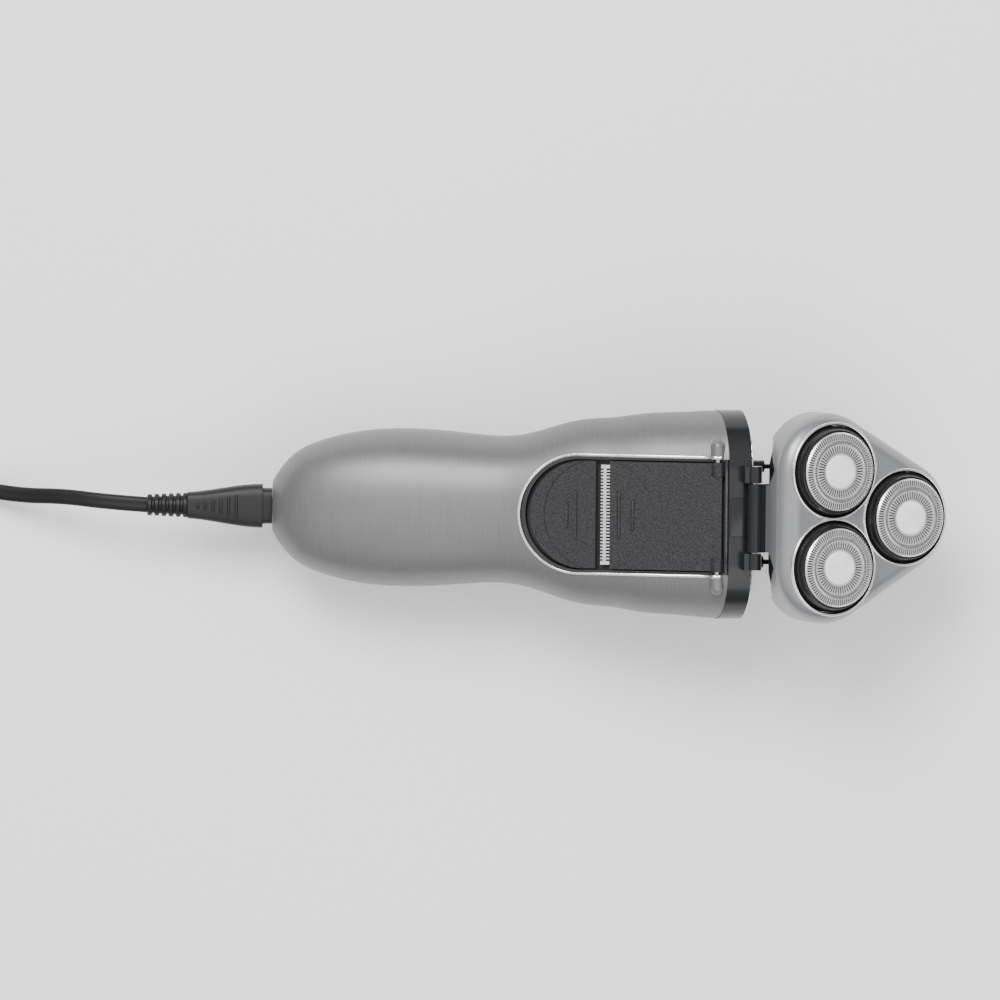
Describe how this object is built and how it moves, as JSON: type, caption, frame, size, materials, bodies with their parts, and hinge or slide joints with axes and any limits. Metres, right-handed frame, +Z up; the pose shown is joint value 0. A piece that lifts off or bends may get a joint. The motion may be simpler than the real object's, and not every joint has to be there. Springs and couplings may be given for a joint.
{
  "type": "rotary electric shaver",
  "caption": "Cordless rotary shaver lying on its front, its shaving head flipped open, with a pop-up trimmer in the back and a plugged-in charging lead.",
  "frame": {"origin": "on the surface below the middle of the shaver, the lead left out", "axes": "+X from the charging socket to the head, +Z up out of the shaver's back"},
  "size_m": [0.3952, 0.0838, 0.0649],
  "materials": {
    "satin_shell": "satin silver lacquer",
    "dark_plastic": "fine spark-eroded black",
    "white_plastic": "moulded",
    "clear_plastic": "translucent",
    "chrome_cover": "satin chrome plating",
    "steel": "ground",
    "brass_part": "machined",
    "cell_wrap": "shrink sleeve",
    "board": "solder mask",
    "cord_rubber": "soft black sheath",
    "pin_metal": "nickel plated"
  },
  "bodies": {
    "handle": {"front_shell": "satin_shell", "back_shell": "satin_shell", "collar": "dark_plastic", "hinge_pin": "steel", "gear_plate": "dark_plastic", "gear_carrier": "white_plastic", "motor": "steel", "battery_cell_1": "cell_wrap", "battery_cell_2": "cell_wrap", "circuit_board": "board", "power_switch": "dark_plastic", "charge_light": "clear_plastic", "charge_socket": "dark_plastic", "trimmer_tray": "dark_plastic", "trimmer_pins": "steel"},
    "release_latch": {"release_button": "dark_plastic"},
    "power_push": {"power_button": "dark_plastic"},
    "sun": {"sun_gear": "white_plastic"},
    "pinion": {"motor_pinion": "brass_part"},
    "trimmer": {"trimmer_panel": "dark_plastic", "trimmer_comb": "steel"},
    "trimmer_cutter": {"trimmer_blade": "steel"},
    "trimmer_catch": {"trimmer_button": "dark_plastic"},
    "head": {"head_frame": "chrome_cover", "head_liner": "dark_plastic", "retaining_frame": "dark_plastic", "float_spring_1": "steel", "float_spring_2": "steel", "float_spring_3": "steel"},
    "lock": {"lock_knob": "dark_plastic"},
    "lead": {"plug_body": "dark_plastic", "plug_nose": "dark_plastic", "strain_relief": "cord_rubber", "cord_run": "cord_rubber", "cord_coil": "cord_rubber", "cord_tail": "cord_rubber", "cord_tie": "dark_plastic", "adaptor_case": "dark_plastic", "adaptor_pins": "pin_metal"},
    "planet_1": {"planet_gear_1": "white_plastic"},
    "spindle_1": {"spindle_1": "dark_plastic"},
    "unit_1": {"comb_ring_1": "dark_plastic", "comb_1": "steel", "comb_cap_1": "white_plastic"},
    "cutter_1": {"cutter_1": "steel"},
    "planet_2": {"planet_gear_2": "white_plastic"},
    "spindle_2": {"spindle_2": "dark_plastic"},
    "unit_2": {"comb_ring_2": "dark_plastic", "comb_2": "steel", "comb_cap_2": "white_plastic"},
    "cutter_2": {"cutter_2": "steel"},
    "planet_3": {"planet_gear_3": "white_plastic"},
    "spindle_3": {"spindle_3": "dark_plastic"},
    "unit_3": {"comb_ring_3": "dark_plastic", "comb_3": "steel", "comb_cap_3": "white_plastic"},
    "cutter_3": {"cutter_3": "steel"}
  },
  "joints": [
    {"name": "head_hinge", "type": "hinge", "parent": "handle", "child": "head", "pos_m": [0.0402, 0, 0.0557], "axis": [0, 1, 0], "range_deg": [0, 72]},
    {"name": "release_press", "type": "slide", "parent": "handle", "child": "release_latch", "axis": [0.2079, 0, 0.9781], "range_m": [0, 0.001], "stiffness_N_per_m": 900},
    {"name": "power_press", "type": "slide", "parent": "handle", "child": "power_push", "axis": [0, 0, 1], "range_m": [0, 0.0008], "stiffness_N_per_m": 900},
    {"name": "drive_spin", "type": "hinge", "parent": "handle", "child": "sun", "pos_m": [0.02458, 0, 0.03223], "axis": [0.9781, 0, -0.2079], "continuous": true},
    {"name": "pinion_spin", "type": "hinge", "parent": "handle", "child": "pinion", "pos_m": [0.02364, 0.00779, 0.02783], "axis": [0.9781, 0, -0.2079], "continuous": true},
    {"name": "trimmer_hinge", "type": "hinge", "parent": "handle", "child": "trimmer", "pos_m": [0.03, 0, 0.05235], "axis": [0, 1, 0], "range_deg": [0, 95]},
    {"name": "trimmer_stroke", "type": "slide", "parent": "trimmer", "child": "trimmer_cutter", "axis": [0, 1, 0], "range_m": [-0.0008, 0.0008]},
    {"name": "trimmer_release", "type": "slide", "parent": "handle", "child": "trimmer_catch", "axis": [-0.9781, 0, -0.2079], "range_m": [0, 0.0012], "stiffness_N_per_m": 900},
    {"name": "lock_turn", "type": "hinge", "parent": "head", "child": "lock", "pos_m": [0.06439, 0, 0.0452], "axis": [0.5, 0, 0.866], "range_deg": [0, 90]},
    {"name": "lead_unplug", "type": "slide", "parent": "handle", "child": "lead", "axis": [-1, 0, 0], "range_m": [0, 0.012]},
    {"name": "planet_spin_1", "type": "hinge", "parent": "handle", "child": "planet_1", "pos_m": [0.02618, 0.01334, 0.03977], "axis": [0.9781, 0, -0.2079], "continuous": true},
    {"name": "spindle_push_1", "type": "slide", "parent": "planet_1", "child": "spindle_1", "axis": [-0.9781, 0, 0.2079], "range_m": [0, 0.001], "stiffness_N_per_m": 400},
    {"name": "float_1", "type": "slide", "parent": "head", "child": "unit_1", "axis": [-0.5, 0, -0.866], "range_m": [0, 0.0015], "stiffness_N_per_m": 500, "deforming": ["float_spring_1"]},
    {"name": "cutter_spin_1", "type": "hinge", "parent": "unit_1", "child": "cutter_1", "pos_m": [0.06172, 0.01334, 0.05598], "axis": [0.5, 0, 0.866], "continuous": true},
    {"name": "planet_spin_2", "type": "hinge", "parent": "handle", "child": "planet_2", "pos_m": [0.02618, -0.01334, 0.03977], "axis": [0.9781, 0, -0.2079], "continuous": true},
    {"name": "spindle_push_2", "type": "slide", "parent": "planet_2", "child": "spindle_2", "axis": [-0.9781, 0, 0.2079], "range_m": [0, 0.001], "stiffness_N_per_m": 400},
    {"name": "float_2", "type": "slide", "parent": "head", "child": "unit_2", "axis": [-0.5, 0, -0.866], "range_m": [0, 0.0015], "stiffness_N_per_m": 500, "deforming": ["float_spring_2"]},
    {"name": "cutter_spin_2", "type": "hinge", "parent": "unit_2", "child": "cutter_2", "pos_m": [0.06172, -0.01334, 0.05598], "axis": [0.5, 0, 0.866], "continuous": true},
    {"name": "planet_spin_3", "type": "hinge", "parent": "handle", "child": "planet_3", "pos_m": [0.02138, 0, 0.01717], "axis": [0.9781, 0, -0.2079], "continuous": true},
    {"name": "spindle_push_3", "type": "slide", "parent": "planet_3", "child": "spindle_3", "axis": [-0.9781, 0, 0.2079], "range_m": [0, 0.001], "stiffness_N_per_m": 400},
    {"name": "float_3", "type": "slide", "parent": "head", "child": "unit_3", "axis": [-0.5, 0, -0.866], "range_m": [0, 0.0015], "stiffness_N_per_m": 500, "deforming": ["float_spring_3"]},
    {"name": "cutter_spin_3", "type": "hinge", "parent": "unit_3", "child": "cutter_3", "pos_m": [0.08173, 0, 0.04443], "axis": [0.5, 0, 0.866], "continuous": true}
  ],
  "couplings": [
    {"joint": "pinion_spin", "follows": "drive_spin", "ratio": -3.5},
    {"joint": "planet_spin_1", "follows": "drive_spin", "ratio": -0.83333},
    {"joint": "planet_spin_2", "follows": "drive_spin", "ratio": -0.83333},
    {"joint": "planet_spin_3", "follows": "drive_spin", "ratio": -0.83333}
  ]
}
